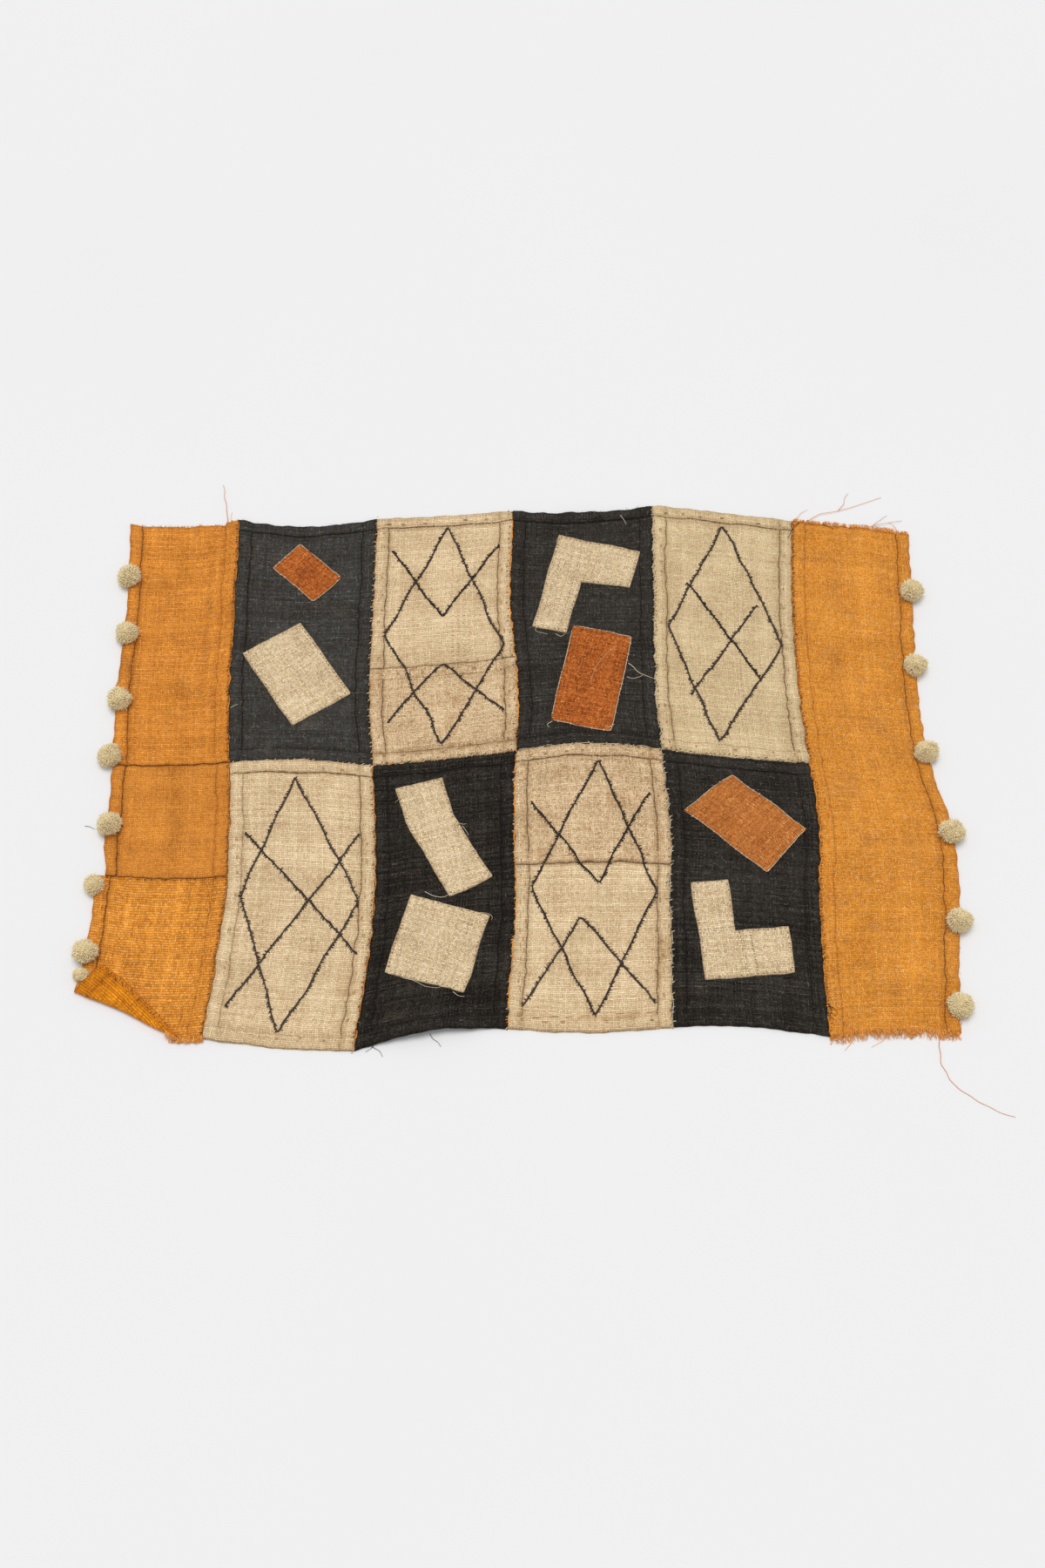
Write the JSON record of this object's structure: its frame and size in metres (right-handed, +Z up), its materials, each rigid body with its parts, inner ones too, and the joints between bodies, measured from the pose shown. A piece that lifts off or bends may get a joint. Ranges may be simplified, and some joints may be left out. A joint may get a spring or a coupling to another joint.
{
  "type": "kuba raffia cloth",
  "caption": "Wide patchwork raffia cloth laid flat, with sewn panels, appliqué patches, embroidered diamonds, pompom edges and frayed ends.",
  "frame": {"origin": "on the surface that the cloth lies on, under the middle of its outline with pompoms and loose threads", "axes": "+X along the cloth's width, to the right as seen from the front; +Y away from the viewer; +Z up, out of the cloth's face"},
  "size_m": [0.6717, 0.5447, 0.0132],
  "materials": {
    "orange_bright": "matt woven raffia",
    "orange_plain": "matt woven raffia",
    "orange_brown": "matt woven raffia",
    "orange_yellow": "matt woven raffia",
    "black": "matt woven raffia",
    "cream": "matt woven raffia",
    "cream_pink": "matt woven raffia",
    "cream_green": "matt woven raffia",
    "cream_pale": "matt woven raffia",
    "rust": "matt woven raffia",
    "rust_light": "matt woven raffia",
    "pompom_yarn": "cut yarn pile"
  },
  "bodies": {
    "root": {"border_left_bottom": "orange_bright", "border_left_middle": "orange_plain", "border_left_top": "orange_brown", "panel_cream_bottom_left": "cream", "panel_black_top_left": "black", "panel_black_bottom_left": "black", "panel_cream_cross_top": "cream_pink", "panel_cream_top_left": "cream", "panel_cream_bottom_right": "cream", "panel_cream_cross_bottom": "cream_pink", "panel_black_top_right": "black", "panel_black_bottom_right": "black", "panel_cream_top_right": "cream_green", "border_right": "orange_yellow", "patch_rust_top_left": "rust", "patch_cream_top_left": "cream_pale", "patch_cream_bent": "cream_pale", "patch_cream_square": "cream_pale", "patch_cream_angle_top": "cream_pale", "patch_rust_top_right": "rust", "patch_rust_bottom_right": "rust_light", "patch_cream_angle_bottom": "cream_pale", "fray_left_top": "orange_brown", "fray_left_bottom": "orange_brown", "fray_right_top": "orange_yellow", "fray_right_bottom": "orange_yellow", "pompom_01": "pompom_yarn", "pompom_02": "pompom_yarn", "pompom_03": "pompom_yarn", "pompom_04": "pompom_yarn", "pompom_05": "pompom_yarn", "pompom_06": "pompom_yarn", "pompom_07": "pompom_yarn", "pompom_08": "pompom_yarn", "pompom_09": "pompom_yarn", "pompom_10": "pompom_yarn", "pompom_11": "pompom_yarn", "pompom_12": "pompom_yarn", "pompom_13": "pompom_yarn", "pompom_14": "pompom_yarn"}
  },
  "joints": []
}
